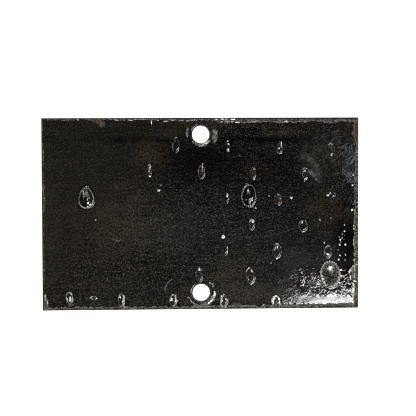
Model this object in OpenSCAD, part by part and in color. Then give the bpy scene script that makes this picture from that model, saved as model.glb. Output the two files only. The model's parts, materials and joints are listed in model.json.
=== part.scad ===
// Steel floor plate: a flat piece cut from rolled plate with low oval lugs on its upper face.
// One bolt hole sits near the middle of each long edge. The lugs on the left part are worn away,
// and three more lugs stand between the rows, each on a broad oval foot.
// The origin is the middle of the underside. X runs along the plate and Z points up.

/* [Plate] */
// Length of the plate
plate_l = 200; // [150:1:400]
// Width of the plate
plate_w = 121; // [116:1:240]
// Thickness under the lugs
plate_t = 6; // [3:0.5:12]
// Rolled-over bevel along the upper edges
edge_bevel = 0.8; // [0.3:0.1:1.6]

/* [Bolt holes] */
// Diameter of each bolt hole
hole_d = 11; // [6:0.5:14]
// Distance from a hole's centre to the long edge beside it
hole_edge = 10.5; // [9:0.5:20]
// Worn bevel around the mouth of each hole
hole_bevel = 0.6; // [0.2:0.1:1.2]
// Diameter of the washer seat that has no lug on it
seat_d = 20; // [16:1:30]

/* [Lugs] */
// Length of a lug at its foot
lug_l = 10; // [7:0.5:14]
// Width of a lug at its foot
lug_w = 4.6; // [3:0.2:6]
// Height of a lug above the face
lug_h = 1.2; // [0.5:0.1:1.5]
// Slope of a lug's flanks, measured from upright
lug_slope = 40; // [20:5:45]
// Radius of the crown along the top of a lug
lug_crown_r = 12; // [8:1:30]
// Distance between neighbouring lugs in one row
lug_pitch = 32.6; // [26:0.2:44]
// Distance between rows of lugs
row_pitch = 16.3; // [14:0.1:22]
// Turn of the lug pattern against the plate's edges, in degrees
pattern_turn = -1.5; // [-5:0.5:5]
// Shift of the pattern along the plate
pattern_x = -0.6; // [-10:0.1:10]
// Shift of the pattern across the plate
pattern_y = -6.2; // [-10:0.1:10]
// Strip along each end of the plate that has lost its lugs
end_wear = 3.2; // [1:0.1:10]

/* [Broad lugs] */
// Height of the oval foot under a broad lug
foot_h = 0.4; // [0.2:0.1:0.8]
// Width of the sloped rim around the foot
foot_rim = 0.8; // [0.3:0.1:1.5]

/* [Hidden] */
$fn = 96;

// How far a cutter runs past the face that it crosses
overlap = 1;
// How far the base of a lug runs into the plate
root = 0.5;

// Hole centres, upper edge first
hole_y = plate_w / 2 - hole_edge;
holes = [[0, hole_y], [0, -hole_y]];

// Plan of a lug: two equal arcs that meet at its tips
lug_arc_r = (lug_l * lug_l + lug_w * lug_w) / (4 * lug_w);
lug_arc_x = lug_arc_r - lug_w / 2;

// Patches where the lugs are worn away: middle and half sizes
worn_patches = [
    [[-60, -10], [65, 35]],
    [[-75, 38], [32, 32]],
];

// Broad lugs: place, width of the foot, and its length above and below its widest line
broad_lugs = [
    [[-72.3, 10.6], 10.4, 9.2, 5.6],
    [[30.4, 11.4], 10, 7.8, 7.6],
    [[81.8, -38.8], 12.8, 8, 9.2],
];

// Rows and columns that are enough to cover the plate
last_row = ceil((plate_w / 2 + abs(pattern_y)) / row_pitch);
last_column = ceil((plate_l / 2 + abs(pattern_x)) / lug_pitch);

// Place of one lug; odd rows are staggered by half a pitch
function lug_place(row, column) =
    let (along = lug_pitch * (column + (abs(row) % 2) / 2), across = row_pitch * row)
    [
        along * cos(pattern_turn) - across * sin(pattern_turn) + pattern_x,
        along * sin(pattern_turn) + across * cos(pattern_turn) + pattern_y,
    ];

// Whether the middle of a lug lies on the plate, inside its worn ends
function on_face(place) = abs(place.x) < plate_l / 2 - end_wear && abs(place.y) < plate_w / 2;

// Whether a place is clear of both washer seats
function clear_of_seats(place) = min([for (hole = holes) norm(place - hole)]) > seat_d / 2;

// How far out a place lies from a worn patch: 1 is its rim
function patch_reach(place, patch) =
    norm([(place.x - patch[0].x) / patch[1].x, (place.y - patch[0].y) / patch[1].y]);

// Whether a place is clear of every worn patch
function unworn(place) = min([for (patch = worn_patches) patch_reach(place, patch)]) > 1;

// Upright section across a span, with its two upper corners bevelled
module bevelled_section(span) {
    half = span / 2;
    polygon([
        [-half, 0],
        [half, 0],
        [half, plate_t - edge_bevel],
        [half - edge_bevel, plate_t],
        [-half + edge_bevel, plate_t],
        [-half, plate_t - edge_bevel],
    ]);
}

// Flat body: the sections along and across the plate, where they meet
module body() {
    intersection() {
        rotate([90, 0, 0])
            linear_extrude(plate_w, center = true)
                bevelled_section(plate_l);
        rotate([90, 0, 90])
            linear_extrude(plate_l, center = true)
                bevelled_section(plate_w);
    }
}

// One lug on the plane z = 0: two sloped sides that meet at its tips, under a domed crown
module lug() {
    spread = tan(lug_slope);
    intersection() {
        intersection_for(side = [-1, 1])
            translate([side * lug_arc_x, 0, -root])
                cylinder(
                    h = root + lug_h,
                    r1 = lug_arc_r + root * spread,
                    r2 = lug_arc_r - lug_h * spread
                );
        translate([0, 0, lug_h - lug_crown_r]) sphere(lug_crown_r);
    }
}

// The lugs of the pattern that are left standing
module lug_pattern() {
    for (row = [-last_row:last_row])
        for (column = [-last_column:last_column]) {
            place = lug_place(row, column);
            if (on_face(place) && clear_of_seats(place) && unworn(place))
                translate([place.x, place.y, 0])
                    rotate(pattern_turn)
                        lug();
        }
}

// One half of an egg-shaped foot: a low oval cone on one side of the widest line
module half_foot(width, reach, side) {
    half_w = width / 2;
    intersection() {
        scale([half_w, reach, 1])
            translate([0, 0, -root])
                cylinder(
                    h = root + foot_h,
                    r1 = 1 + root / foot_h * foot_rim / half_w,
                    r2 = 1 - foot_rim / half_w
                );
        translate([-width, side > 0 ? 0 : -2 * reach, -root])
            cube([2 * width, 2 * reach, root + foot_h]);
    }
}

// One broad lug on the plane z = 0: a lug in the middle of its egg-shaped foot
module broad_lug(width, above, below) {
    translate([0, (below - above) / 2, 0]) {
        half_foot(width, above, 1);
        half_foot(width, below, -1);
    }
    lug();
}

// All lugs, cut off where they run over the plate's edges
module lugs() {
    face = [plate_l - 2 * edge_bevel, plate_w - 2 * edge_bevel, 2 * (lug_h + root)];
    intersection() {
        cube(face, center = true);
        union() {
            lug_pattern();
            for (b = broad_lugs)
                translate([b[0].x, b[0].y, 0]) broad_lug(b[1], b[2], b[3]);
        }
    }
}

// One bolt hole with its bevelled mouth
module bolt_hole() {
    translate([0, 0, -overlap])
        cylinder(h = plate_t + lug_h + 2 * overlap, d = hole_d);
    translate([0, 0, plate_t - hole_bevel])
        cylinder(
            h = hole_bevel + overlap,
            d1 = hole_d,
            d2 = hole_d + 2 * (hole_bevel + overlap)
        );
}

module plate() {
    color([0.13, 0.12, 0.11])
        difference() {
            union() {
                body();
                translate([0, 0, plate_t]) lugs();
            }
            for (hole = holes)
                translate([hole.x, hole.y, 0]) bolt_hole();
        }
}

plate();
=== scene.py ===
import json
import math
from collections import namedtuple

import bpy
import numpy as np
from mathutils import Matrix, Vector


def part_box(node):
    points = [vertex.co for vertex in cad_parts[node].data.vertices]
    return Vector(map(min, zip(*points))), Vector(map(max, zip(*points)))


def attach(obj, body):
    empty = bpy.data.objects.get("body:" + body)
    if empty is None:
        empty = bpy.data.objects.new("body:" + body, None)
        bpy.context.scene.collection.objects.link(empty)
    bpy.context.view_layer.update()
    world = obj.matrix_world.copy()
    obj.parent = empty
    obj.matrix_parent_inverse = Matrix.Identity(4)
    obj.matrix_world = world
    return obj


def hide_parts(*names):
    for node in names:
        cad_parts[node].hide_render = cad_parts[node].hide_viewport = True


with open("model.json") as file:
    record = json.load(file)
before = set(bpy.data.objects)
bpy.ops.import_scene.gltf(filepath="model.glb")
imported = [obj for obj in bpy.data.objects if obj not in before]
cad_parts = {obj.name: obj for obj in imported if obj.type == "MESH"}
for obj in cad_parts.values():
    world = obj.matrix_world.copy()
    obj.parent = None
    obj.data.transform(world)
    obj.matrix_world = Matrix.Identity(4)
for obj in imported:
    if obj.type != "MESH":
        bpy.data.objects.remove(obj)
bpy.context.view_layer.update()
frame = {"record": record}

bl_info = {
    "name": "Worn Floor Plate",
    "version": (1, 0, 0),
    "blender": (4, 5, 0),
    "location": "View3D > Sidebar > Floor Plate",
    "description": "Builds a worn, black-coated steel floor plate with oval lugs and two bolt holes",
    "category": "Object",
}

# The frame, in millimetres
MM = 0.001
BORES = [mount for mount in frame["record"]["mounts"] if mount["kind"] == "bore"]
HOLES = [(bore["pos_m"][0] / MM, bore["pos_m"][1] / MM) for bore in BORES]
HOLE_R = BORES[0]["dims"]["r_mm"]
HALF_L, HALF_W, TOP_Z = (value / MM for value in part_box("plate")[1])

# Mesh: lengths in millimetres, and the gap for merging as a share of a mesh cell
TOUCH = 0.01
WALL_LEVELS = (5.2, 3.9, 2.4, 0.5, 0.0)
WALL_DENT = 0.12
DEEPEST_DENT = 0.3
WALL_REACH = 0.45
HOLE_SIDES = 128
MERGE_SHARE = 0.05
SMOOTH_ANGLE = math.radians(45)

# Relief of the face, in millimetres
LUG_PITS = 0.006
RIM_LINE = 0.32
COAT_WAVE = 0.05
COAT_RIPPLE = 0.004
SCRATCH_DEPTH = 0.003
EDGE_DENT = 0.25

# Relief that only the material has, in millimetres
SKIN_RELIEF = 0.011
COAT_TOOTH = 0.0003
STEEL_TOOTH = 0.04
SHEAR_LINES = 0.15

# Roughness, with the coat's where it is dull and where it is glossy
COAT_ROUGH = (0.055, 0.035)
STEEL_ROUGH = 0.9
POLISHED_ROUGH = 0.36
RUST_ROUGH = 0.85
FLOOR_ROUGH = 0.9

# Wear marks, painted highlights and the painted reflection that are stored on the mesh, and those that
# only the upper face has
WEAR = "bare rub rust brown film ochre bloom gloss grain grit crumple shear".split()
FACE_WEAR = "rub film ochre bloom crumple".split()

# Wear of the underside and the sheared walls
UNDERSIDE = {"bare": 0.1, "rust": 0.2, "brown": 0.2, "gloss": 0.2, "grain": 0.4, "grit": 0.5}
SHEAR_BARE = 0.75
SHEAR_RUST = 0.35

# Camera
SENSOR_WIDTH = 36
FILTER_WIDTH = 1.1

# Marks on the upper face, in millimetres from its middle
Lug = namedtuple("Lug", "x y width length height core arcs")
BroadLug = namedtuple("BroadLug", "x y width above below lens rise inset ring bright foot crest beads")
Zone = namedtuple("Zone", "x y half_x half_y amount")
Drop = namedtuple("Drop", "x y radius pale")
Scratch = namedtuple("Scratch", "points width pale")
HoleArc = namedtuple("HoleArc", "hole radius half start end bare rub")
Rims = namedtuple("Rims", "lug foot edge hole mark")

# How far around the marks the mesh is split, in the first and the second round
SPLIT_RIMS = [Rims(1.8, 2.2, 4.2, 6.0, 1.6), Rims(0.6, 0.8, 1.0, 2.6, 0.5)]


def each(kind, *rows):
    """One item of a kind for each row of values."""
    return [kind(*row) for row in rows]


# Patches where the lugs are worn away
WORN_PATCHES = [Zone(-60, -10, 65, 35, 1), Zone(-75, 38, 32, 32, 1)]

# How single lugs have worn, by row and column: width, length, height, brown core, and the arcs
# of the rim that are laid bare and painted bright as highlights: ring (1 is the outline), start and end in
# degrees, brightness
LUG_LOOKS = {
    (3, -1): (4.4, 10, 0.45, 0, [(0.95, 0, 360, 0.42), (0.5, 100, 170, 0.5), (0.75, -50, -5, 0.8)]),
    (3, 0): (3, 7.2, 0.3, 0, [(0.4, 30, 150, 0.5), (0.8, -130, -50, 0.6)]),
    (3, 1): (4, 8.2, 0.5, 0, [(0.9, -150, -30, 0.6), (1, -30, 70, 0.35)]),
    (3, 2): (4.6, 9, 0.2, 0, [(0.8, 40, 150, 0.5), (0.8, -90, -40, 0.6)]),
    (2, -1): (2.8, 8.4, 0.4, 0, [(0.9, 20, 160, 0.5), (0.9, -120, -60, 0.5)]),
    (2, 0): (4.4, 9.8, 0.7, 0.35, [(0.95, 90, 270, 0.5), (0.95, -90, 90, 0.65)]),
    (2, 1): (3.8, 8.2, 0.6, 0.5, [(0.95, -85, -15, 0.8), (0.95, -15, 60, 0.4), (0.95, 120, 240, 0.35)]),
    (2, 2): (4.8, 9.2, 0.2, 0, [(0.95, 50, 200, 0.45), (0.45, 90, 250, 0.45), (0.9, -110, -20, 0.45)]),
    (1, 0): (2.8, 7, 0.3, 0, [(0.7, -40, 60, 0.4)]),
    (1, 1): (4.7, 7.8, 0.5, 0.6, [(0.95, -60, 60, 0.5), (0.95, 120, 240, 0.4), (0.8, 60, 120, 0.5)]),
    (0, 1): (3.8, 7.7, 0.6, 0, [
        (0.8, 70, 160, 0.8), (0.7, -35, 10, 0.8), (0.85, -130, -70, 0.9), (0.95, 150, 240, 0.45)
    ]),
    (0, 2): (5.4, 7.9, 0.4, 0, [(0.95, 0, 360, 0.5), (0.6, 100, 165, 0.6), (0.97, -110, -70, 0.8)]),
    (-1, 0): (3, 7, 0.35, 0.2, [(0.9, -70, 60, 0.65), (0.8, 110, 150, 0.4)]),
    (-1, 1): (5.6, 9.8, 0.7, 0, [
        (0.95, 10, 140, 0.6), (0.55, 110, 175, 0.7), (0.9, 160, 205, 0.4), (1, -105, -30, 1)
    ]),
    (-1, 2): (5, 8.2, 0.35, 0.1, [(0.9, 0, 360, 0.55), (0.4, 200, 340, 1)]),
    (-2, 0): (4.4, 11, 0.6, 0.3, [(0.6, 50, 130, 0.7), (0.95, -80, 60, 0.45), (0.95, 120, 250, 0.4)]),
    (-2, 1): (6, 10.8, 0.7, 0, [
        (1, 100, 158, 0.9), (0.7, 40, 100, 0.8), (0.95, -92, -5, 1), (0.6, 165, 235, 0.7)
    ]),
    (-2, 2): (5, 11.4, 0.4, 0, [
        (1, 45, 135, 0.6), (0.4, 60, 120, 0.7), (1, -110, -10, 0.75), (1, 170, 215, 0.45)
    ]),
    (-3, -3): (4.4, 10, 0.8, 0, [
        (0.9, 20, 160, 0.7), (0.85, -50, 20, 0.9), (0.5, 160, 230, 0.8), (0.9, -110, -60, 0.5)
    ]),
    (-3, -2): (4.4, 9.2, 0.8, 0, [(0.9, -70, 60, 1), (0.75, 100, 190, 0.8), (0.9, -110, -70, 0.6)]),
    (-3, -1): (4.6, 9, 0.8, 0, [(0.9, -75, 50, 1), (0.7, 120, 200, 0.8), (0.8, 70, 110, 0.6)]),
    (-3, 0): (4.8, 8, 0.6, 0, [(0.9, 100, 255, 1.8), (0.55, -60, 60, 0.9), (0.95, -80, 30, 0.8)]),
    (-3, 1): (5.4, 9.2, 0.2, 0, [(0.9, 75, 175, 2.4), (0.6, 95, 165, 1.6), (0.95, 10, 75, 0.8)]),
}

# Small rings that lie along the plate
SMALL_RINGS = [
    Lug(-67.9, -52.6, 4.2, 2.2, 0.3, 0.2, [(0.9, 0, 360, 0.8)]),
    Lug(83.4, 11.8, 4.4, 2.9, 0.2, 0, [(0.9, -60, 200, 0.55)]),
]

# The three lugs that stand between the rows on egg-shaped feet. After the sizes come the dome's rise, the
# bare ring's place, width and painted-highlight side in degrees, how bare the foot is, how pale the
# crest's upper half is (partly a painted reflection), and the lip's beads
BROAD_LUGS = [
    BroadLug(-72.3, 10.6, 10.4, 9.2, 5.6, (2.5, 4.8), 0.6, 0.75, 0.42, -50, 0, 0.8, 0.05),
    BroadLug(30, 11.4, 10, 7.8, 7.6, (2.6, 5.2), 0.3, 0.55, 0.34, -90, 0.1, 0.45, 1),
    BroadLug(81.8, -38.8, 12.8, 8, 9.2, (3.1, 5.8), 0, 0.4, 0.45, -20, 0.85, 0, 0.9),
]

# Hard drops and specks on the coat. Many of the pale ones are painted highlights on small beads and domes
DROPS = each(
    Drop,
    (13.8, -14.3, 1.25, 1), (-26.5, 15, 0.75, 1), (-25.4, 18.2, 0.4, 0.35), (57, 10, 0.85, 0.42),
    (42.8, 11.4, 0.6, 0.1), (24.5, 36.4, 0.65, 0.05), (-66.4, -3.5, 0.42, 0.5), (29.7, 14.5, 0.7, 1),
    (32.2, 8.4, 0.6, 0.9), (30.6, 6.8, 0.6, 0.4), (28.5, 8.9, 0.55, 0.35), (32.4, 10.2, 0.5, 0.25),
    (34.3, 3.6, 0.6, 0.4), (96.3, 24.3, 0.8, 0.3), (-69.8, 6.2, 0.8, 0.9), (-71.4, 4.8, 0.6, 0.9),
    (44, -31.3, 0.45, 0.2), (75.2, -4.1, 0.5, 0.4), (82.4, -3, 0.45, 0.5), (78, -18.6, 0.6, 0.25),
    (90.9, -7.4, 0.4, 0.35), (91, -11.4, 0.55, 0.8), (89.6, -13.3, 0.4, 0.35),
    (89.3, -15.5, 0.55, 0.35), (87.6, -15.2, 0.45, 0.7), (88.4, -16.8, 0.5, 0.8), (87.9, -20, 0.6, 0.9),
    (91.6, -19.9, 0.45, 0.8), (88, -26.6, 0.55, 0.2), (91.7, -26.5, 0.4, 0.3), (87.2, -29.5, 0.45, 0.6),
    (96.2, 17.6, 0.55, 0.9), (95.8, 2, 0.5, 0.8),
)

# Fields of fine spatter: how many drops lie in each zone
SPATTER_SEED = 7
SPATTERS = [(Zone(91, -18, 3, 12, 0.3), 14), (Zone(93, 24, 3, 14, 0.5), 16)]

# Thin scratches through the coat
SCRATCHES = each(
    Scratch,
    ([(39, -14.8), (50, -12.2), (63, -8.8)], 0.22, 0.06),
    ([(-18.8, -41.2), (-21.4, -43.6), (-22.8, -46.6), (-22.8, -49.4)], 0.24, 0.3),
    ([(-56, -15.6), (-52, -16.8), (-50.6, -15.8)], 0.3, 0.2),
    ([(-61, -11.2), (-55, -11.4)], 0.2, 0.06),
    ([(30, -48.6), (36, -44)], 0.26, 0.04),
    ([(-70, -57.2), (-66.4, -53.6)], 0.25, 0.1),
    ([(10.6, 1.4), (19.8, 1.8)], 0.2, 0.04),
    ([(-73.4, -52.8), (-69.8, -52.6)], 0.3, 0.08),
)

# Smears wiped over the coat
SMEARS = each(
    Scratch,
    ([(64, 36.8), (68.4, 34.9), (72.2, 30.4), (74.7, 24.1)], 1.9, 0.06),
    ([(68.6, 26.6), (71.6, 23.8), (74.2, 20.4)], 0.8, 0.2),
)

# Painted highlights: spots on the lugs laid bare and painted bright steel where they catch the light
GLINTS = each(
    Zone,
    (17.3, 40.5, 0.65, 0.6, 0.9), (16.9, 45.8, 0.4, 0.5, 0.7), (17.8, 43.8, 0.5, 0.8, 0.6),
    (50.8, 43.6, 0.38, 1.6, 0.9), (49.3, 41.1, 0.6, 0.6, 1), (50.8, 38, 0.6, 0.4, 0.7),
    (82.6, 43.2, 1.2, 0.5, 0.4), (82.7, 37.8, 0.6, 0.5, 0.55), (-32, 29.6, 0.6, 1.9, 0.8),
    (-32.2, 23.8, 0.5, 0.5, 0.9), (0.8, 28.6, 0.35, 1.8, 0.9), (1.4, 22.6, 0.4, 0.5, 0.5),
    (1.1, 31.5, 0.4, 0.7, 0.7), (33.6, 28.4, 0.6, 0.6, 1), (33.9, 21.8, 0.5, 0.5, 0.5),
    (66.8, 28.2, 0.4, 0.4, 0.6), (65.8, 26.7, 0.5, 0.5, 0.7), (66.8, 21.5, 0.5, 0.4, 0.9),
    (16.7, 11.7, 0.6, 1.3, 1), (17.5, 9.2, 0.5, 0.4, 0.8), (17, 7.7, 0.45, 0.8, 0.6),
    (50.3, 9.4, 0.45, 0.5, 0.7), (49.1, 11.7, 0.5, 0.7, 0.5), (49.1, 5.7, 0.45, 0.45, 0.8),
    (80.3, 11.3, 0.9, 0.8, 0.9), (32.8, -4.8, 0.7, 1, 1), (64.1, -5.6, 0.6, 0.9, 0.75),
    (48.1, -21.2, 0.4, 1, 0.9), (81.2, -27, 0.8, 0.9, 0.6), (82.2, -35.2, 1.25, 1.3, 1),
    (75.8, -37.6, 0.8, 0.7, 1), (76.6, -39.9, 0.6, 0.6, 0.9), (77.2, -41.8, 0.6, 0.6, 0.9),
    (78, -44, 0.6, 0.7, 0.9), (79, -46, 0.6, 0.6, 0.9), (88.6, -36.2, 0.7, 0.5, 0.8),
    (88.9, -40, 0.7, 0.5, 0.8), (-16.3, -54.2, 0.7, 2.8, 1), (-19, -54, 0.8, 1.2, 0.9),
    (-18.2, -51, 0.9, 0.6, 0.7), (-49.1, -54, 0.7, 2.8, 1), (-51.3, -52.3, 0.6, 1.2, 0.8),
    (45.3, -55.6, 0.9, 2.6, 1), (49.5, -56, 0.35, 2.8, 0.8), (-98.2, -52, 0.4, 2.2, 0.8),
    (-97, -55.6, 0.4, 1.8, 0.9), (-1.2, -34.8, 0.7, 1.4, 0.7), (12.8, -54, 0.6, 2.4, 1),
    (14.2, -51.2, 0.8, 0.5, 0.8), (-84.4, -49.8, 0.7, 0.7, 0.9), (-82.1, -50, 0.6, 0.6, 0.8),
    (-85, -52.6, 0.5, 1, 0.8), (-82.8, -53.6, 0.7, 1.5, 0.9), (-32.7, 27.2, 0.45, 2, 0.6),
    (-71, 7.2, 0.7, 1, 1), (-68.4, 6.6, 0.9, 0.7, 0.8), (-73.9, 14, 0.8, 1.7, 0.45),
    (-71.9, 14.3, 1, 1.4, 0.32),
)

# Flakes of coat lost beside the edges and the holes
FLAKES = each(
    Zone,
    (-100, -60.5, 4.2, 12, 0.52), (-100, 9, 2.2, 9, 0.6), (-48, 59.6, 0.8, 0.5, 0.9),
    (-31, 57.8, 0.4, 1.6, 1), (-22, 58.6, 2.4, 0.5, 0.6), (100, -38.6, 6, 5.6, 1),
)

# Chips along the upper edge, laid bare and painted bright as highlights
EDGE_CHIPS = each(
    Zone,
    (9.5, 59.5, 1.4, 0.4, 1), (14.6, 59.5, 2, 0.4, 1), (20.6, 59.5, 2.6, 0.4, 1),
    (17, 57.8, 3, 0.4, 0.6), (23, 57.6, 2, 0.4, 0.6), (32, 58, 2, 0.5, 0.5),
    (53.6, 57.8, 0.6, 0.4, 0.7),
)

# Arcs worn through the coat around the holes, the brightest painted as highlights on the hole bevels:
# degrees from +X, hole 0 is the upper one
HOLE_ARCS = each(
    HoleArc,
    (0, 6.7, 1, -140, -30, 0.65, 0.1), (0, 6.5, 0.45, -78, -38, 1, 1),
    (0, 9.4, 2.2, -32, 20, 0.52, 0.2), (0, 8.5, 1.1, 150, 190, 0.6, 0.1), (1, 8.3, 0.55, -62, 6, 1, 1),
    (1, 7.2, 0.7, -75, -15, 0.5, 0.2), (1, 8.5, 0.8, 22, 52, 0.55, 0.3),
    (1, 8, 0.5, 195, 240, 0.55, 0.4), (1, 8.4, 1.3, 238, 312, 0.6, 0.15),
)

# Rust
RUST_ZONES = each(
    Zone,
    (-66, 59, 4.4, 1.8, 1), (-61.6, 57, 2, 3, 1), (98.4, 53.6, 3, 6.6, 1), (98.8, -58, 2, 2.4, 0.7),
    (-82.8, -56.4, 2.2, 2, 0.7), (67.6, 60, 1.4, 1.2, 0.8), (22, -57.6, 4, 1.4, 0.7),
)

# Brown film baked on the coat
BROWN_ZONES = each(
    Zone,
    (-52, -7, 22, 26, 0.75), (-80, -12, 48, 60, 0.34), (-34, 37, 10, 8, 1), (-21, 51, 8, 4, 0.6),
    (2, 58.5, 22, 3.4, 1), (8, 53, 3, 5, 0.9), (55, 52, 12, 4, 0.5), (79, 2, 11, 13, 0.6),
    (78, 36, 12, 12, 0.45), (20, -36, 10, 9, 0.8), (-10, -52, 8, 5, 0.7), (30, -52, 24, 6, 0.6),
)

# Pale dust on the coat
FILM_ZONES = each(
    Zone,
    (-20, -12, 34, 17, 0.016), (60, -30, 16, 12, 0.028), (80, -28, 8, 10, 0.028),
    (-95, -22, 5, 40, 0.01), (35, -25, 60, 32, 0.009), (28, -50, 40, 10, 0.02),
    (-50, -50, 40, 14, 0.009), (82, 44, 22, 16, 0.007), (70, 28, 6, 10, 0.014),
)

# Painted bluish reflection on the coat, where it mirrors the bluish light at the right
PAINTED_REFLECTION_ZONES = each(
    Zone,
    (95, 31, 5, 14, 0.95), (85, 42, 13, 11, 0.32), (76, 30, 10, 14, 0.15), (92, 4, 5, 8, 0.2),
)

# Bands and pools where the coat is made darker and glossier
BLACK_ZONES = each(
    Zone,
    (-42, 46.6, 28, 2.2, 0.9), (42, 46.6, 34, 2.2, 0.9), (0, 33, 36, 17, 0.85), (45, 28, 22, 16, 0.4),
    (91.5, -14, 5.5, 22, 1), (-24, 46.4, 9, 1.8, 1),
)


def number(name, description, value, **options):
    """Property that holds one number."""
    return bpy.props.FloatProperty(name=name, description=description, default=value, **options)


def length(name, description, millimetres):
    """Length property with its default given in millimetres."""
    return number(name, description, millimetres * MM, unit="LENGTH", precision=5)


def vector(name, description, value, **options):
    """Property that holds a row of numbers."""
    return bpy.props.FloatVectorProperty(
        name=name, description=description, default=value, size=len(value), **options
    )


def colour(name, description, value):
    """Linear colour property with full alpha."""
    return vector(name, description, (*value, 1), min=0, max=1, subtype="COLOR")


class PlateSizes(bpy.types.PropertyGroup):
    """Sizes of the plate and its relief."""

    thickness: length("Thickness", "Thickness of the plate under its lugs", 6)
    cell: length("Mesh cell", "Side of a mesh cell on the plain face", 1)
    edge_drop: length("Edge drop", "How far the upper edges are rolled over", 0.8)
    coat: length("Coat", "Thickness of the black coat", 0.12)
    lug_pitch: length("Lug pitch", "Distance between neighbouring lugs in one row", 32.6)
    row_pitch: length("Row pitch", "Distance between rows of lugs", 16.3)
    lug_height: length("Lug height", "Height of a whole lug above the face", 1.2)
    lug_flank: length("Lug flank", "Width of the slope around a lug", 0.8)
    crown_radius: length("Crown radius", "Radius of the worn crown on top of a lug", 400)
    dome_radius: length("Dome radius", "Radius of the dome on a broad lug", 40)
    end_wear: length("End wear", "Strip along each end that has lost its lugs", 3.2)
    seat_radius: length("Washer seat", "Radius around each hole that has no lug", 10)
    foot_height: length("Foot height", "Height of the oval foot under a broad lug", 0.4)
    hole_bevel: length("Hole bevel", "Worn bevel around the mouth of each hole", 0.6)
    pattern_turn: number(
        "Pattern turn", "Turn of the lug pattern against the edges", math.radians(-1.5), subtype="ANGLE"
    )
    pattern_shift: vector(
        "Pattern shift", "Shift of the lug pattern along and across", (-0.6 * MM, -6.2 * MM), unit="LENGTH"
    )


class PlateFinish(bpy.types.PropertyGroup):
    """Colours of the coat, the film on it, its painted reflection, the bare steel with its painted
    highlights, and the rust.
    """

    coat_black: colour("Coat", "Black coat where it is clean", (0.001, 0.0009, 0.0008))
    coat_worn: colour("Worn coat", "Black coat where it is scuffed dull", (0.156, 0.147, 0.129))
    brown: colour("Brown film", "Brown film baked on the coat", (0.058, 0.04, 0.023))
    ochre: colour("Ochre film", "Ochre film on the crowns of some lugs", (0.2, 0.115, 0.05))
    # Painted reflection: the bluish sheen where the coat mirrors the blue light
    bloom: colour("Bloom", "Bluish bloom on the coat", (0.17, 0.18, 0.19))
    # The pale film also paints the highlight spots on many drops
    film: colour("Pale film", "Pale smears and dried drops", (0.8, 0.8, 0.77))
    steel_dark: colour("Dark steel", "Bare steel where it is stained", (0.012, 0.011, 0.0095))
    steel_light: colour("Light steel", "Bare steel where it is clean", (0.24, 0.23, 0.208))
    # The rubbed steel colour also paints the highlights on lugs, hole rims and chips
    rubbed_steel_and_highlight: colour("Rubbed steel", "Bare steel where it is rubbed bright", (0.9, 0.89, 0.86))
    rust_dark: colour("Dark rust", "Old rust", (0.03, 0.017, 0.012))
    rust_light: colour("Light rust", "Fresh rust", (0.12, 0.068, 0.05))


class StageSettings(bpy.types.PropertyGroup):
    """Floor, light and camera."""

    floor_size: number("Floor size", "Side of the square floor", 6, unit="LENGTH")
    floor_colour: colour("Floor colour", "Colour of the pale floor", (0.86, 0.86, 0.86))
    floor_glow: number("Floor glow", "Light that the floor gives off by itself", 1.1)
    zenith: number("Zenith", "Brightness of the studio overhead", 0.03)
    horizon: number("Horizon", "Brightness of the studio at the horizon", 1.0)
    camera_place: vector(
        "Camera place", "Place of the camera, above the plate", (-0.05196, 0.05416, 1.00158), unit="LENGTH"
    )
    camera_turn: vector(
        "Camera turn",
        "Turn of the camera away from straight down",
        tuple(math.radians(angle) for angle in (-2.889, -3.245, -0.173)),
        subtype="EULER",
    )
    camera_lens: number("Lens", "Focal length in millimetres on a 36 mm sensor", 137.0)


# Fields on the face, over arrays of points in millimetres
def smooth(low, high, value):
    """Smooth step from 0 at low to 1 at high."""
    t = np.clip((value - low) / (high - low), 0, 1)
    return t * t * (3 - 2 * t)


def bump(value, middle, half):
    """Soft bump of height 1 around a middle value."""
    return np.exp(-(((value - middle) / half) ** 2))


def lattice(u, v, seed):
    """Smooth seeded noise between -1 and 1 on a unit lattice."""
    side = 128
    knots = np.random.default_rng(seed).uniform(-1, 1, (side, side))
    i = np.floor(u).astype(int)
    j = np.floor(v).astype(int)
    a = smooth(0, 1, u - i)
    b = smooth(0, 1, v - j)
    near = knots[i % side, j % side] * (1 - a) + knots[(i + 1) % side, j % side] * a
    far = knots[i % side, (j + 1) % side] * (1 - a) + knots[(i + 1) % side, (j + 1) % side] * a
    return near * (1 - b) + far * b


def cloud(x, y, cell, seed, octaves=3):
    """Layered noise around 0 whose largest patches are one cell wide."""
    total = np.zeros_like(x)
    for octave in range(octaves):
        finer = 2 ** octave / cell
        total += lattice(x * finer, y * finer, seed + octave) * 0.5 ** octave
    return total


def zone_reach(x, y, zone, rim=0):
    """Distance from the middle of a zone, 1 on its outline, which a rim can widen."""
    return np.hypot((x - zone.x) / (zone.half_x + rim), (y - zone.y) / (zone.half_y + rim))


def in_zones(x, y, zones, rough, seed, cell=3):
    """How deep each point lies in the strongest of some soft zones with ragged rims."""
    ragged = np.maximum(0.5, 1 + rough * cloud(x, y, cell, seed))
    depth = np.zeros_like(x)
    for zone in zones:
        reach = zone_reach(x, y, zone) * ragged
        depth = np.maximum(depth, zone.amount * np.exp(-(reach ** 2)))
    return depth


def raise_to(mark, amount):
    """Raise a mark in place wherever it is lower than an amount."""
    np.maximum(mark, amount, out=mark)


def edge_gap(x, y):
    """Distance to the nearest edge of the plate."""
    return np.minimum(HALF_L - np.abs(x), HALF_W - np.abs(y))


def hole_gap(x, y):
    """Distance to the middle of the nearer hole."""
    return np.min([np.hypot(x - hole_x, y - hole_y) for hole_x, hole_y in HOLES], axis=0)


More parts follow.
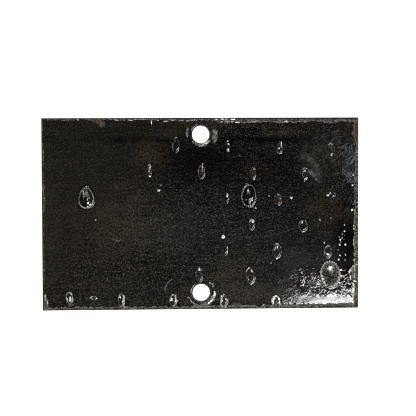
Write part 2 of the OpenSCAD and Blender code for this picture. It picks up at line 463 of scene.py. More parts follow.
def scratch_gap(x, y, scratch):
    """Distance to a scratch."""
    gap = np.full_like(x, np.inf)
    for (ax, ay), (bx, by) in zip(scratch.points, scratch.points[1:]):
        run = np.array([bx - ax, by - ay])
        along = np.clip(((x - ax) * run[0] + (y - ay) * run[1]) / (run @ run), 0, 1)
        gap = np.minimum(gap, np.hypot(x - ax - along * run[0], y - ay - along * run[1]))
    return gap


def arc_gap(angle, start, end):
    """Degrees from the nearer end of an arc, negative inside it."""
    middle = (start + end) / 2
    return np.abs((angle - middle + 180) % 360 - 180) - (end - start) / 2


def spatter():
    """Fine drops strewn over the spatter fields."""
    chance = np.random.default_rng(SPATTER_SEED)
    drops = []
    for zone, count in SPATTERS:
        for _ in range(count):
            x = zone.x + zone.half_x * chance.normal()
            y = zone.y + zone.half_y * chance.normal()
            drops.append(Drop(x, y, chance.uniform(0.15, 0.34), zone.amount * chance.uniform(0.4, 1)))
    return drops


def lens_depth(u, v, wide, long):
    """Distance inside the plan of a lug: between an oval and two arcs that meet at its tips."""
    if wide > long:
        return lens_depth(v, u, long, wide)
    radius = (long ** 2 + wide ** 2) / (4 * wide)
    reach = radius - wide / 2
    pointed = radius - np.maximum(np.hypot(u - reach, v), np.hypot(u + reach, v))
    oval = (1 - np.hypot(2 * u / wide, 2 * v / long)) * wide / 2
    return 0.3 * pointed + 0.7 * oval


def egg_depth(u, v, broad):
    """Distance inside the egg-shaped foot of a broad lug."""
    v = v - (broad.below - broad.above) / 2
    half = np.where(v > 0, broad.above, broad.below)
    return (1 - np.hypot(u / (broad.width / 2), v / half)) * broad.width / 2


def standing_lugs(sizes):
    """The lugs of the pattern that still show on the face."""
    pitch = sizes.lug_pitch / MM
    row_pitch = sizes.row_pitch / MM
    shift_x, shift_y = (value / MM for value in sizes.pattern_shift)
    cos, sin = math.cos(sizes.pattern_turn), math.sin(sizes.pattern_turn)
    rows = math.ceil((HALF_W + abs(shift_y)) / row_pitch)
    columns = math.ceil((HALF_L + abs(shift_x)) / pitch)
    lugs = []
    for row in range(-rows, rows + 1):
        for column in range(-columns, columns + 1):
            along = pitch * (column + abs(row) % 2 / 2)
            across = row_pitch * row
            x = along * cos - across * sin + shift_x
            y = along * sin + across * cos + shift_y
            on_face = abs(x) < HALF_L - sizes.end_wear / MM and abs(y) < HALF_W
            clear = hole_gap(x, y) > sizes.seat_radius / MM
            unworn = all(zone_reach(x, y, patch) > 1 for patch in WORN_PATCHES)
            if on_face and clear and unworn and (row, column) in LUG_LOOKS:
                lugs.append(Lug(x, y, *LUG_LOOKS[row, column]))
    return lugs + SMALL_RINGS


# Relief and wear of the face
class Face:
    """Height above the bare face and the wear marks, painted highlights and painted reflection at an array
    of points, in millimetres.
    """

    def __init__(self, x, y, sizes):
        self.x = x
        self.y = y
        self.sizes = sizes
        self.edge = edge_gap(x, y)
        self.height, self.bare, self.rub, self.crumple, self.ochre = np.zeros((5, len(x)))
        self.rust = in_zones(x, y, RUST_ZONES, 0.45, 11)
        self.brown = in_zones(x, y, BROWN_ZONES, 0.3, 21)
        self.film = in_zones(x, y, FILM_ZONES, 0.4, 31)
        self.bloom = in_zones(x, y, PAINTED_REFLECTION_ZONES, 0.3, 51)
        self.black = in_zones(x, y, BLACK_ZONES, 0.25, 41)
        self.add_margins()
        self.add_holes()
        self.add_coat()
        self.add_lugs()
        self.add_broad_lugs()
        self.add_drops()
        self.add_scratches()
        self.add_glints()
        self.roll_edges()
        self.gloss = self.find_gloss()
        self.grain = self.find_grain()
        self.grit = self.find_grit()

    def noise(self, cell, seed, octaves=3):
        """Layered noise at the face's own points."""
        return cloud(self.x, self.y, cell, seed, octaves)

    def uncover(self, amount):
        """Lay the steel bare where it isn't already."""
        raise_to(self.bare, np.clip(amount, 0, 1))

    def add_margins(self):
        """Bare strips along the four edges, each with its own width, a bright line at the coat's edge that
        is partly a painted highlight, and a darker rim.
        """
        x, y = self.x, self.y
        wander = self.noise(9, 101, 4)
        crumbs = self.noise(1.4, 105, 2)
        lower = smooth(10, -20, y)
        right = smooth(4, 14, x)
        far_right = smooth(40, 80, x)
        for gap, width, bright, outline in (
            (HALF_W - y, 1.0 + 1.9 * right + 0.7 * wander, 0.05 + 0.1 * right, 1.2),
            (HALF_W + y, 2.1 + 0.6 * far_right + 0.4 * wander, 0.15, 0.6),
            (HALF_L + x, 0.9 + 0.5 * wander, 0.05, 1.0),
            (HALF_L - x, 2.4 + 0.5 * lower + 0.4 * wander, 0.1 + 0.7 * lower, 0.35),
        ):
            self.uncover(0.5 + (width + 0.3 * crumbs - gap) / 0.7)
            raise_to(self.rub, bright * (0.5 + 1.4 * crumbs) * bump(gap, width, 0.4))
            # Each edge is also made darker along its very rim through the brown mask
            raise_to(self.brown, smooth(outline, 0.5 * outline, gap))
        self.rub *= smooth(0.2, 0.8, self.edge)
        chips = 1.4 * in_zones(x, y, EDGE_CHIPS, 0.5, 107) * (0.8 + crumbs)
        self.uncover(chips)
        raise_to(self.rub, chips)
        ragged = 1 + 0.12 * self.noise(3, 111)
        for flake in FLAKES:
            reach = zone_reach(x, y, flake) * ragged
            depth = (1 - reach) * min(flake.half_x, flake.half_y)
            self.uncover(flake.amount * np.clip(0.5 + depth / 0.5, 0, 1))
            fresh = (2 * flake.amount - 1) * (0.6 + crumbs)
            raise_to(self.rub, fresh * bump(depth, 0.25, 0.3))

    def add_holes(self):
        """Worn rings around the holes, with painted highlight arcs on their bevels."""
        x, y = self.x, self.y
        gap = hole_gap(x, y)
        ring = HOLE_R + 0.3 + 0.5 * self.noise(5, 121)
        self.uncover(0.5 + (ring - gap) / 0.8)
        wander = 0.5 * self.noise(4, 125)
        crumbs = self.noise(1.2, 127, 2)
        for arc in HOLE_ARCS:
            u = x - HOLES[arc.hole][0]
            v = y - HOLES[arc.hole][1]
            away = arc_gap(np.degrees(np.arctan2(v, u)), arc.start, arc.end)
            worn = bump(np.hypot(u, v) + wander, arc.radius, arc.half) * smooth(8, -8, away)
            self.uncover(1.3 * arc.bare * worn)
            raise_to(self.rub, arc.rub * (1 + crumbs) * worn)
        bevel = self.sizes.hole_bevel / MM
        self.height -= bevel * smooth(HOLE_R + 1.8 * bevel, HOLE_R, gap)

    def add_coat(self):
        """Thickness and waves of the coat, with a lip where it ends."""
        x, y = self.x, self.y
        coat = self.sizes.coat / MM
        self.height -= coat * smooth(0.25, 0.75, self.bare)
        self.height += 0.25 * coat * bump(self.bare, 0.18, 0.16)
        calm = 0.98 * smooth(10, 50, x) * smooth(-38, -52, y)
        self.height += COAT_WAVE * (1 - calm) * self.noise(16, 131, 2)
        ripple = 0.4 + smooth(20, 90, x) * (1 + smooth(-26, -40, y))
        strip = 0.95 * smooth(48, 76, x) * smooth(-49.5, -53, y)
        self.height += COAT_RIPPLE * ripple * (1 - strip) * self.noise(3.4, 141, 1)

    def add_lugs(self):
        """The lugs of the pattern, each with its own wear and painted highlights on its rim."""
        sizes = self.sizes
        cos, sin = math.cos(sizes.pattern_turn), math.sin(sizes.pattern_turn)
        wobble = 0.25 * self.noise(2.2, 151, 2)
        pits = LUG_PITS * self.noise(1.5, 155, 2)
        crumbs = 0.45 * self.noise(1.3, 157, 2)
        inside_edge = smooth(0.5, 1.3, self.edge)
        for lug in standing_lugs(sizes):
            u = (self.x - lug.x) * cos + (self.y - lug.y) * sin
            v = (self.y - lug.y) * cos - (self.x - lug.x) * sin
            depth = lens_depth(u, v, lug.width, lug.length) + wobble
            flank = min(sizes.lug_flank / MM, 0.3 * min(lug.width, lug.length))
            tall = sizes.lug_height / MM * lug.height
            crown = tall - (u ** 2 + v ** 2) / (2 * sizes.crown_radius / MM)
            self.height += smooth(0, flank, depth) * (crown + pits) * inside_edge
            angle = np.degrees(np.arctan2(v * lug.width, u * lug.length))
            half = min(lug.width, lug.length) / 2
            # Painted highlights: arcs of the rim laid bare and made bright
            for ring, start, end, bright in lug.arcs:
                away = arc_gap(angle, start, end)
                line = bump(half - depth, ring * half, RIM_LINE)
                rim = bright * (1 + crumbs) * line * smooth(14, -14, away)
                self.uncover(1.25 * rim)
                raise_to(self.rub, smooth(0.3, 0.85, rim))
            raise_to(self.ochre, lug.core * smooth(0.8, 1.4, depth))
            crumple = min(1, 2 * lug.height) * (0.15 + 0.85 * smooth(-25, 15, lug.y))
            raise_to(self.crumple, crumple * smooth(0.3, 0.9, depth))
            raise_to(self.black, 0.6 * lug.height * bump(depth, -0.7, 0.5))

    def add_broad_lugs(self):
        """Lugs on egg-shaped feet with a beaded lip, a painted highlight on one side of the ring and a
        pale upper crest that is partly a painted reflection.
        """
        sizes = self.sizes
        foot = sizes.foot_height / MM
        tall = sizes.lug_height / MM
        for index, broad in enumerate(BROAD_LUGS):
            u = self.x - broad.x
            v = self.y - broad.y
            depth = egg_depth(u, v, broad) + 0.15 * self.noise(2.0, 161 + index, 2)
            turn = np.arctan2(v, u)
            beads = np.cos(turn * 31 + 2.5 * self.noise(5, 171 + index, 1))
            lip = bump(depth, 0.45, 0.32) * (1 + (0.55 - 0.35 * broad.foot) * broad.beads * beads)
            step = foot * (0.55 * smooth(0, 0.8, depth) + 0.6 * lip)
            half_u, half_v = broad.lens
            lens = (1 - np.hypot(u / half_u, v / half_v)) * half_u
            lens += 0.3 * self.noise(2.4, 165 + index, 2)
            dome = tall - 0.5 * foot - (u ** 2 + v ** 2) / (2 * sizes.dome_radius / MM)
            self.height += step + broad.rise * smooth(0, 1.5, lens) * np.maximum(dome, 0.2 * tall)
            beaded = np.clip(0.8 + (0.5 * beads - 0.1) * broad.beads, 0, 1)
            ring = beaded * bump(depth, broad.inset, broad.ring)
            self.uncover(1.1 * ring)
            oval = smooth(-0.1, 0.5, lens)
            self.uncover(broad.foot * smooth(0.2, 0.8, depth))
            facets = np.clip(0.8 + 0.8 * self.noise(1.8, 177, 2), 0.2, 1.2)
            stain = np.maximum(1.2 * oval * facets, 0.3 * smooth(0.6, 1.2, depth))
            raise_to(self.brown, np.minimum(1, broad.foot * stain))
            raise_to(self.crumple, (1 - 0.8 * broad.foot) * smooth(0, 0.8, lens))
            # The upper half of the crest is laid bare and lightened, partly as a painted reflection of the
            # light above
            crest = broad.crest * smooth(0.2, 0.9, lens) * smooth(-1.0, 1.0, v)
            self.uncover(crest)
            raise_to(self.rub, crest * (0.1 + 0.5 * self.noise(1.6, 175, 2)))
            # Painted highlight: the ring is brightest on the side given by its bright angle
            facing = 0.5 + 0.5 * np.cos(turn - math.radians(broad.bright))
            even = 0.1 + 0.8 * broad.foot
            raise_to(self.rub, ring * (even + (1 - even) * facing ** 2))
            raise_to(self.black, smooth(-0.9, -0.2, depth) * 0.9)

    def add_drops(self):
        """Drops that dried on the coat, with ragged rims; the pale spots of many are painted highlights.
        """
        ragged = 1 + 0.4 * self.noise(1.1, 185, 1)
        for drop in DROPS + spatter():
            reach = np.hypot(self.x - drop.x, self.y - drop.y) / drop.radius * ragged
            cap = np.clip(1 - reach ** 2, 0, 1)
            self.height += 0.1 * drop.radius * cap
            # The pale spot of many drops is a painted highlight
            raise_to(self.film, 1.8 * drop.pale * smooth(1.0, 0.6, reach))
            raise_to(self.black, 0.4 * bump(reach, 1.4, 0.4))

    def add_scratches(self):
        """Thin scratches that cut into the coat."""
        for scratch in SCRATCHES:
            cut = bump(scratch_gap(self.x, self.y, scratch), 0, scratch.width)
            self.height -= SCRATCH_DEPTH * cut
            raise_to(self.film, scratch.pale * cut)
        wiped = 1 + 0.8 * cloud(self.x + self.y, 4 * (self.x - self.y), 5, 187)
        for smear in SMEARS:
            wipe = bump(scratch_gap(self.x, self.y, smear), 0, smear.width)
            raise_to(self.film, smear.pale * wiped * wipe)

    def add_glints(self):
        """Painted highlights: spots laid bare and painted bright steel."""
        bright = in_zones(self.x, self.y, GLINTS, 0.4, 189, 1.1)
        self.uncover(1.4 * bright)
        raise_to(self.rub, 1.3 * bright)

    def roll_edges(self):
        """Upper edges rolled over, and dented a little."""
        drop = self.sizes.edge_drop / MM
        dents = EDGE_DENT * np.clip(self.noise(6, 181), 0, 1)
        roll = np.clip(1 - self.edge / drop, 0, 1) ** 2
        self.height -= (drop + dents) * roll
        self.height = np.minimum(self.height, TOP_Z - self.sizes.thickness / MM)

    def find_gloss(self):
        """How glossy the coat is: dull on the left, wet-looking elsewhere."""
        even = 0.2 + 0.3 * smooth(20, 70, self.x + 8 * self.noise(30, 191))
        return np.clip(even + 0.8 * self.black - 0.2 * self.brown, 0, 1)

    def find_grain(self):
        """How rough the coat's skin is: finest on the left."""
        along = self.x + 6 * self.noise(14, 195)
        right = smooth(48, 92, along) * (0.25 + 0.75 * smooth(-32, -45, self.y))
        right = np.maximum(right, 0.6 * smooth(42, 56, along) * smooth(-49.5, -53, self.y))
        calm = 0.8 * self.black + 0.95 * smooth(-51.5, -54.0, self.y) * smooth(50, 72, self.x)
        return np.clip(0.16 + 0.94 * right - calm, 0.05, 1.1)

    def find_grit(self):
        """How speckled the dust on the coat is: even on the far left."""
        spread = self.x - 0.9 * self.y + 9 * self.noise(25, 197)
        return 0.45 + 0.55 * smooth(-80, -30, spread)


# Mesh steps
def deselect_all():
    """Leave nothing selected, so that a step acts only on what it adds or selects."""
    bpy.ops.object.select_all(action="DESELECT")


def select_only(piece):
    """Select one object and make it the active one."""
    deselect_all()
    piece.select_set(True)
    bpy.context.view_layer.objects.active = piece


def choose(piece, kind, chosen):
    """Select only the chosen vertices, edges or polygons of a piece."""
    kinds = ("vertices", "edges", "polygons")
    bpy.context.tool_settings.mesh_select_mode = [name == kind for name in kinds]
    for name in kinds:
        items = getattr(piece.data, name)
        items.foreach_set("select", np.zeros(len(items), dtype=bool))
    getattr(piece.data, kind).foreach_set("select", chosen)


def read(items, name):
    """Read a vector of every item as an array of rows."""
    rows = np.empty(len(items) * 3)
    items.foreach_get(name, rows)
    return rows.reshape(-1, 3)


def add_face_grid(sizes):
    """Add the upper face as a flat grid at the plate's height."""
    deselect_all()
    size = np.array([2 * HALF_L, 2 * HALF_W]) * MM
    columns, rows = (round(side / sizes.cell) for side in size)
    bpy.ops.mesh.primitive_grid_add(
        x_subdivisions=columns, y_subdivisions=rows, size=1, location=(0, 0, sizes.thickness)
    )
    plate = bpy.context.object
    plate.name = "plate_skin"
    plate.scale = (*size, 1)
    bpy.ops.object.transform_apply(location=True, rotation=False, scale=True)
    return plate


def near_marks(x, y, rims, sizes):
    """Which points lie near the marks of the face."""
    near = (edge_gap(x, y) < rims.edge) | (hole_gap(x, y) < HOLE_R + rims.hole)
    for lug in standing_lugs(sizes):
        near |= lens_depth(x - lug.x, y - lug.y, lug.width, lug.length) > -rims.lug
    for broad in BROAD_LUGS:
        near |= egg_depth(x - broad.x, y - broad.y, broad) > -rims.foot
    for drop in DROPS + spatter():
        near |= np.hypot(x - drop.x, y - drop.y) < drop.radius + rims.mark
    for scratch in SCRATCHES:
        near |= scratch_gap(x, y, scratch) < scratch.width + rims.mark
    for flake in FLAKES:
        near |= zone_reach(x, y, flake, rims.mark) < 1
    return near


def refine(plate, rims, sizes):
    """Split the faces of the grid whose middles lie near the marks."""
    x, y, _ = read(plate.data.polygons, "center").T / MM
    choose(plate, "polygons", near_marks(x, y, rims, sizes))
    bpy.ops.object.mode_set(mode="EDIT")
    bpy.ops.mesh.subdivide(number_cuts=1, ngon=False)
    bpy.ops.object.mode_set(mode="OBJECT")


def add_walls(plate, sizes):
    """Extrude the rim of the face down in steps and close the underside."""
    edges = np.empty(len(plate.data.edges) * 2, dtype=int)
    plate.data.edges.foreach_get("vertices", edges)
    ends = edges.reshape(-1, 2)
    x, y, _ = read(plate.data.vertices, "co").T / MM
    on_end = np.abs(np.abs(x) - HALF_L) < TOUCH
    on_side = np.abs(np.abs(y) - HALF_W) < TOUCH
    rim = on_end[ends].all(axis=1) | on_side[ends].all(axis=1)
    choose(plate, "edges", rim)
    bpy.ops.object.mode_set(mode="EDIT")
    last = sizes.thickness
    for level in np.array(WALL_LEVELS) * MM:
        bpy.ops.mesh.extrude_region_move(TRANSFORM_OT_translate={"value": (0, 0, level - last)})
        last = level
    bpy.ops.mesh.edge_face_add()
    bpy.ops.mesh.select_all(action="SELECT")
    bpy.ops.mesh.normals_make_consistent(inside=False)
    bpy.ops.object.mode_set(mode="OBJECT")


def drill_holes(plate, sizes):
    """Cut the two bolt holes with round cutters."""
    for hole_x, hole_y in HOLES:
        deselect_all()
        bpy.ops.mesh.primitive_cylinder_add(
            vertices=HOLE_SIDES, radius=HOLE_R * MM, depth=4 * sizes.thickness,
            location=(hole_x * MM, hole_y * MM, 0),
        )
        cutter = bpy.context.object
        select_only(plate)
        cut = plate.modifiers.new("Bolt hole", "BOOLEAN")
        cut.object = cutter
        cut.operation = "DIFFERENCE"
        cut.solver = "EXACT"
        bpy.ops.object.modifier_apply(modifier=cut.name)
        select_only(cutter)
        bpy.ops.object.delete()


def merge_close_points(plate, gap):
    """Merge the points that the cutters left almost on each other."""
    select_only(plate)
    bpy.ops.object.mode_set(mode="EDIT")
    bpy.ops.mesh.select_all(action="SELECT")
    bpy.ops.mesh.remove_doubles(threshold=gap)
    bpy.ops.object.mode_set(mode="OBJECT")


def shape_face(plate, sizes):
    """Raise the relief on the upper face and roughen the sheared walls."""
    points = read(plate.data.vertices, "co")
    x, y, z = points.T / MM
    top = z > sizes.thickness / MM - TOUCH
    points[top, 2] += Face(x[top], y[top], sizes).height * MM
    wall = ~top & (z > TOUCH)
    for axis, half, along in ((0, HALF_L, y), (1, HALF_W, x)):
        side = wall & (np.abs(np.abs(points[:, axis] / MM) - half) < TOUCH)
        dent = WALL_DENT * (1 + cloud(along[side], z[side] * 2, 4, 201 + axis))
        points[side, axis] -= np.sign(points[side, axis]) * np.clip(dent, 0, DEEPEST_DENT) * MM
    plate.data.vertices.foreach_set("co", points.ravel())
    plate.data.update()


def mark_wear(plate, sizes):
    """Store the wear, painted highlights and painted reflection of every point as attributes for the
    material.
    """
    x, y, z = read(plate.data.vertices, "co").T / MM
    face = Face(x, y, sizes)
    in_hole = hole_gap(x, y) < HOLE_R + 2 * TOUCH
    wall_top = sizes.thickness / MM - sizes.edge_drop / MM + 2 * TOUCH
    on_wall = (edge_gap(x, y) < WALL_REACH) & (z < wall_top)
    under = z < TOUCH
    sheared = (on_wall | in_hole) & ~under
    face.shear = sheared.astype(float)
    face.bare[sheared] = SHEAR_BARE
    face.rust[sheared] = np.maximum(SHEAR_RUST, face.rust[sheared])
    for name in WEAR:
        values = getattr(face, name)
        if name in FACE_WEAR:
            values[sheared] = 0
        values[under] = UNDERSIDE.get(name, 0)
        layer = plate.data.attributes.new(name, "FLOAT", "POINT")
        layer.data.foreach_set("value", values.astype(np.float32))


# Material steps
class NodeNet:
    """An empty node tree, and short ways to add nodes that give back their results."""

    def __init__(self, tree):
        self.tree = tree
        tree.nodes.clear()

    def node(self, kind, inputs=None, **settings):
        """Add a node, set its options, and fill its inputs with values or links."""
        node = self.tree.nodes.new(kind)
        for name, value in settings.items():
            setattr(node, name, value)
        for key, value in (inputs or {}).items():
            if isinstance(value, bpy.types.NodeSocket):
                self.tree.links.new(value, node.inputs[key])
            else:
                node.inputs[key].default_value = value
        return node

    def math(self, operation, a, b, clamp=False):
        """Reckon with two numbers."""
        return self.node("ShaderNodeMath", {0: a, 1: b}, operation=operation, use_clamp=clamp).outputs[0]

    def plus(self, a, b):
        """Add two numbers."""
        return self.math("ADD", a, b)

    def minus(self, a, b):
        """Subtract the second number."""
        return self.math("SUBTRACT", a, b)

    def times(self, a, b, clamp=False):
        """Multiply two numbers."""
        return self.math("MULTIPLY", a, b, clamp)

    def noise(self, place, scale, detail, roughness=0.55, distortion=0.0):
        """Noise around 0.5."""
        inputs = {"Vector": place, "Scale": scale, "Detail": detail}
        inputs.update({"Roughness": roughness, "Distortion": distortion})
        return self.node("ShaderNodeTexNoise", inputs).outputs["Fac"]

    def span(self, value, low, high, to_low=0.0, to_high=1.0):
        """Map one range smoothly to another."""
        inputs = {"Value": value, "From Min": low, "From Max": high, "To Min": to_low, "To Max": to_high}
        return self.node("ShaderNodeMapRange", inputs, interpolation_type="SMOOTHSTEP").outputs[0]

    def mix(self, factor, a, b):
        """Mix two colours."""
        return self.node("ShaderNodeMix", {0: factor, 6: a, 7: b}, data_type="RGBA").outputs[2]

    def blend(self, factor, a, b):
        """Mix two numbers."""
        return self.node("ShaderNodeMix", {0: factor, 2: a, 3: b}, data_type="FLOAT").outputs[0]

    def stretched(self, place, scale):
        """Place whose patterns are stretched along the axes with a small scale."""
        return self.node("ShaderNodeMapping", {"Vector": place, "Scale": scale}).outputs[0]


def worn_coat_material(finish):
    """Black coat with brown film, pale smears and a painted bluish reflection, bare steel with painted
    highlights, and rust, laid out by the wear attributes.
    """
    material = bpy.data.materials.new("worn_black_coat")
    material.use_nodes = True
    net = NodeNet(material.node_tree)
    place = net.node("ShaderNodeTexCoord").outputs["Object"]
    bare, rub, rust, brown, film, ochre, bloom, gloss, grain, grit, crumple, shear = (
        net.node("ShaderNodeAttribute", attribute_name=name).outputs["Fac"] for name in WEAR
    )

    # Patterns
    blotch = net.noise(place, 130, 5)
    fine = net.noise(place, 850, 2, 0.6)
    speck = net.noise(place, 1400, 1)
    swirl = net.noise(place, 380, 1, 0.5, 1.2)
    streak = net.noise(net.stretched(place, (0.1, 1, 1)), 900, 3)
    fleck = net.noise(net.stretched(place, (0.7, 1, 1)), 1150, 2, 0.6)
    turned = {"Vector": place, "Rotation": (0, 0, math.radians(38)), "Scale": (2.4, 1, 1)}
    slanted = net.node("ShaderNodeMapping", turned, vector_type="TEXTURE").outputs[0]
    slant = net.noise(slanted, 620, 3, 0.65)
    drag = net.noise(net.stretched(place, (1, 1, 0.12)), 1100, 3)

    # Coat with its film and a painted bluish reflection
    dull = net.minus(1.0, gloss)
    lined = net.times(net.minus(streak, 0.5), 0.22)
    dusty = net.plus(net.blend(0.45, fleck, speck), lined)
    scuffed = net.math("POWER", net.span(dusty, 0.3, 0.76), 2.9)
    scuffed = net.blend(grit, 0.1, scuffed)
    scuff = net.times(dull, scuffed)
    coat = net.mix(scuff, finish.coat_black, finish.coat_worn)
    patchy = net.times(net.minus(blotch, 0.5), 0.4)
    baked = net.span(net.plus(fine, patchy), 0.4, 0.64)
    coat = net.mix(net.times(brown, baked), coat, finish.brown)
    stained = net.times(ochre, net.span(fine, 0.4, 0.64))
    coat = net.mix(stained, coat, finish.ochre)
    # Painted bluish reflection of the light at the right
    reflected_sky = net.times(bloom, net.span(slant, 0.48, 0.67))
    coat = net.mix(reflected_sky, coat, finish.bloom)
    smeared = net.times(film, net.span(fine, 0.3, 0.6, 0.35, 1.0))
    coat = net.mix(smeared, coat, finish.film)

    # Bare steel, rubbed bright in places and painted bright as highlights
    ragged = net.times(net.minus(fine, 0.5), 0.9)
    laid_bare = net.span(net.plus(bare, ragged), 0.4, 0.62)
    clean = net.blend(shear, net.span(dusty, 0.42, 0.62), net.span(drag, 0.35, 0.7))
    unstained = net.minus(1.0, net.times(brown, 0.85))
    clean = net.times(clean, unstained)
    steel = net.mix(clean, finish.steel_dark, finish.steel_light)
    # Rubbed steel and the painted highlights on lugs, hole rims and chips
    polished_and_highlight = net.times(rub, net.span(fine, 0.3, 0.55), clamp=True)
    steel = net.mix(polished_and_highlight, steel, finish.rubbed_steel_and_highlight)
    colour_now = net.mix(laid_bare, coat, steel)

    # Rust
    crusted = net.times(net.minus(blotch, 0.5), 0.7)
    rusted = net.plus(net.plus(rust, crusted), ragged)
    rust_mask = net.span(rusted, 0.38, 0.62)
    fresh = net.span(fine, 0.35, 0.65)
    rust_tone = net.mix(fresh, finish.rust_dark, finish.rust_light)
    colour_now = net.mix(rust_mask, colour_now, rust_tone)

    # Gloss
    uneven = net.plus(gloss, net.times(ragged, 0.4))
    coat_rough = net.span(uneven, 0, 1, *COAT_ROUGH)
    rough = net.blend(laid_bare, coat_rough, net.blend(polished_and_highlight, STEEL_ROUGH, POLISHED_ROUGH))
    rough = net.blend(rust_mask, rough, RUST_ROUGH)
    unrusted = net.minus(1.0, rust_mask)
    metal = net.times(laid_bare, unrusted)
    metal = net.times(metal, net.blend(polished_and_highlight, 0.15, 0.95))

    # Fine relief, in millimetres
    wrinkle = net.span(swirl, 0.43, 0.57)
    skin = net.times(net.times(wrinkle, grain), SKIN_RELIEF)
    toothed = net.math("MAXIMUM", laid_bare, crumple)
    tooth = net.times(fine, net.blend(toothed, COAT_TOOTH, STEEL_TOOTH))
    relief = net.plus(skin, tooth)
    lines = net.times(net.times(drag, shear), SHEAR_LINES)
    relief = net.plus(relief, lines)
    bumps = net.node("ShaderNodeBump", {"Strength": 1.0, "Distance": MM, "Height": relief})

    look = {
        "Base Color": colour_now,
        "Roughness": rough,
        "Metallic": metal,
        "Specular IOR Level": net.blend(laid_bare, 0.5, 0.2),
        "Normal": bumps.outputs[0],
    }
    surface = net.node("ShaderNodeBsdfPrincipled", look)
    net.node("ShaderNodeOutputMaterial", {"Surface": surface.outputs[0]})
    return material


def floor_material(stage):
    """Pale floor that gives off a little light."""
    material = bpy.data.materials.new("pale_floor")
    material.use_nodes = True
    shader = material.node_tree.nodes["Principled BSDF"]
    shader.inputs["Base Color"].default_value = stage.floor_colour
    shader.inputs["Roughness"].default_value = FLOOR_ROUGH
    shader.inputs["Emission Color"].default_value = stage.floor_colour
    shader.inputs["Emission Strength"].default_value = stage.floor_glow
    return material


# Stage steps
LightPanel = namedtuple("LightPanel", "name place size turn glow tint")
KEY_TURN = math.radians(3)
KEY_TINT = (1, 0.99, 0.97)
LIGHT_PANELS = each(
    LightPanel,
    ("key_panel", (0.489, -0.356, 1.5), (0.46, 0.3), KEY_TURN, 28, KEY_TINT),
    ("key_fade", (0.2493, -0.3685, 1.5), (0.02, 0.3), KEY_TURN, 17, KEY_TINT),
    ("key_end", (0.2293, -0.3696, 1.5), (0.02, 0.3), KEY_TURN, 7, KEY_TINT),
    ("sky_panel", (0.349, -0.011, 1.5), (0.03, 0.07), 0, 4, (0.72, 0.86, 1)),
    ("top_panel", (0, 0.6, 1.2), (0.1, 0.7), 0, 15, (1, 1, 1)),
)


def add_light_panel(panel):
    """Add a flat light that shines down with an even glow."""
    bpy.ops.object.light_add(type="AREA", location=panel.place, rotation=(0, 0, panel.turn))
    light = bpy.context.object
    light.name = panel.name
    light.data.shape = "RECTANGLE"
    light.data.size, light.data.size_y = panel.size
    light.data.energy = panel.glow * math.pi * panel.size[0] * panel.size[1]
    light.data.color = panel.tint


def build_world(stage):
    """Studio that is dark overhead and bright at the horizon."""
    world = bpy.data.worlds.new("studio")
    bpy.context.scene.world = world
    world.use_nodes = True
    net = NodeNet(world.node_tree)
    direction = net.node("ShaderNodeTexCoord").outputs["Generated"]
    rise = net.node("ShaderNodeSeparateXYZ", {0: direction}).outputs["Z"]
    glow = net.span(rise, 0.2, 0.8, stage.horizon, stage.zenith)
    studio = net.node("ShaderNodeBackground", {"Strength": glow})
    net.node("ShaderNodeOutputWorld", {"Surface": studio.outputs[0]})


def add_camera(stage):
    """Camera above the plate, as the photograph shows it."""
    bpy.ops.object.camera_add(location=stage.camera_place, rotation=stage.camera_turn)
    camera = bpy.context.object
    camera.name = "camera"
    camera.data.lens = stage.camera_lens
    camera.data.sensor_width = SENSOR_WIDTH
    bpy.context.scene.camera = camera


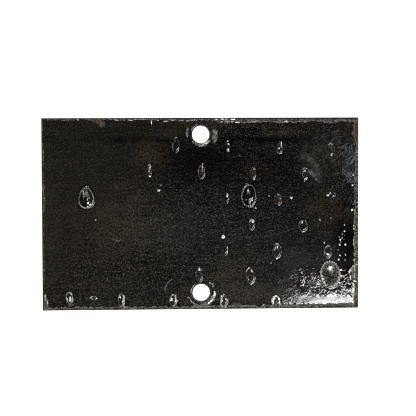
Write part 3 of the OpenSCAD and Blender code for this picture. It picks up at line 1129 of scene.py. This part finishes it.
class PLATE_OT_build(bpy.types.Operator):
    """Model the plate with its lugs, holes and wear"""

    bl_idname = "floor_plate.build"
    bl_label = "Build Plate"

    def execute(self, context):
        sizes = context.scene.plate_sizes
        plate = add_face_grid(sizes)
        for rims in SPLIT_RIMS:
            refine(plate, rims, sizes)
        add_walls(plate, sizes)
        drill_holes(plate, sizes)
        merge_close_points(plate, MERGE_SHARE * sizes.cell)
        shape_face(plate, sizes)
        mark_wear(plate, sizes)
        select_only(plate)
        bpy.ops.object.shade_smooth_by_angle(angle=SMOOTH_ANGLE)
        plate.data.materials.append(worn_coat_material(context.scene.plate_finish))
        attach(plate, "root")
        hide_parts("plate")
        return {"FINISHED"}


class PLATE_OT_stage(bpy.types.Operator):
    """Add the floor, the lights and the camera"""

    bl_idname = "floor_plate.stage"
    bl_label = "Build Stage"

    def execute(self, context):
        stage = context.scene.plate_stage
        deselect_all()
        bpy.ops.mesh.primitive_plane_add(size=stage.floor_size, location=(0, 0, 0))
        floor = context.object
        floor.name = "floor"
        floor.data.materials.append(floor_material(stage))
        build_world(stage)
        for panel in LIGHT_PANELS:
            add_light_panel(panel)
        add_camera(stage)
        context.scene.view_settings.view_transform = "Standard"
        context.scene.cycles.filter_width = FILTER_WIDTH
        return {"FINISHED"}


class PLATE_PT_panel(bpy.types.Panel):
    """Sidebar panel with the plate's settings and steps"""

    bl_idname = "PLATE_PT_panel"
    bl_label = "Floor Plate"
    bl_space_type = "VIEW_3D"
    bl_region_type = "UI"
    bl_category = "Floor Plate"

    def draw(self, context):
        scene = context.scene
        for group in (scene.plate_sizes, scene.plate_finish, scene.plate_stage):
            box = self.layout.box()
            for name in group.__annotations__:
                box.prop(group, name)
        self.layout.operator(PLATE_OT_build.bl_idname)
        self.layout.operator(PLATE_OT_stage.bl_idname)


CLASSES = (PlateSizes, PlateFinish, StageSettings, PLATE_OT_build, PLATE_OT_stage, PLATE_PT_panel)
GROUPS = {"plate_sizes": PlateSizes, "plate_finish": PlateFinish, "plate_stage": StageSettings}


def register():
    """Register the classes and hang their settings on the scene."""
    for cls in CLASSES:
        bpy.utils.register_class(cls)
    for name, group in GROUPS.items():
        setattr(bpy.types.Scene, name, bpy.props.PointerProperty(type=group))


def unregister():
    """Take the settings and classes away again."""
    for name in GROUPS:
        delattr(bpy.types.Scene, name)
    for cls in reversed(CLASSES):
        bpy.utils.unregister_class(cls)


def main():
    """Build the plate and its stage."""
    register()
    bpy.ops.floor_plate.build()
    bpy.ops.floor_plate.stage()


if __name__ == "__main__":
    main()
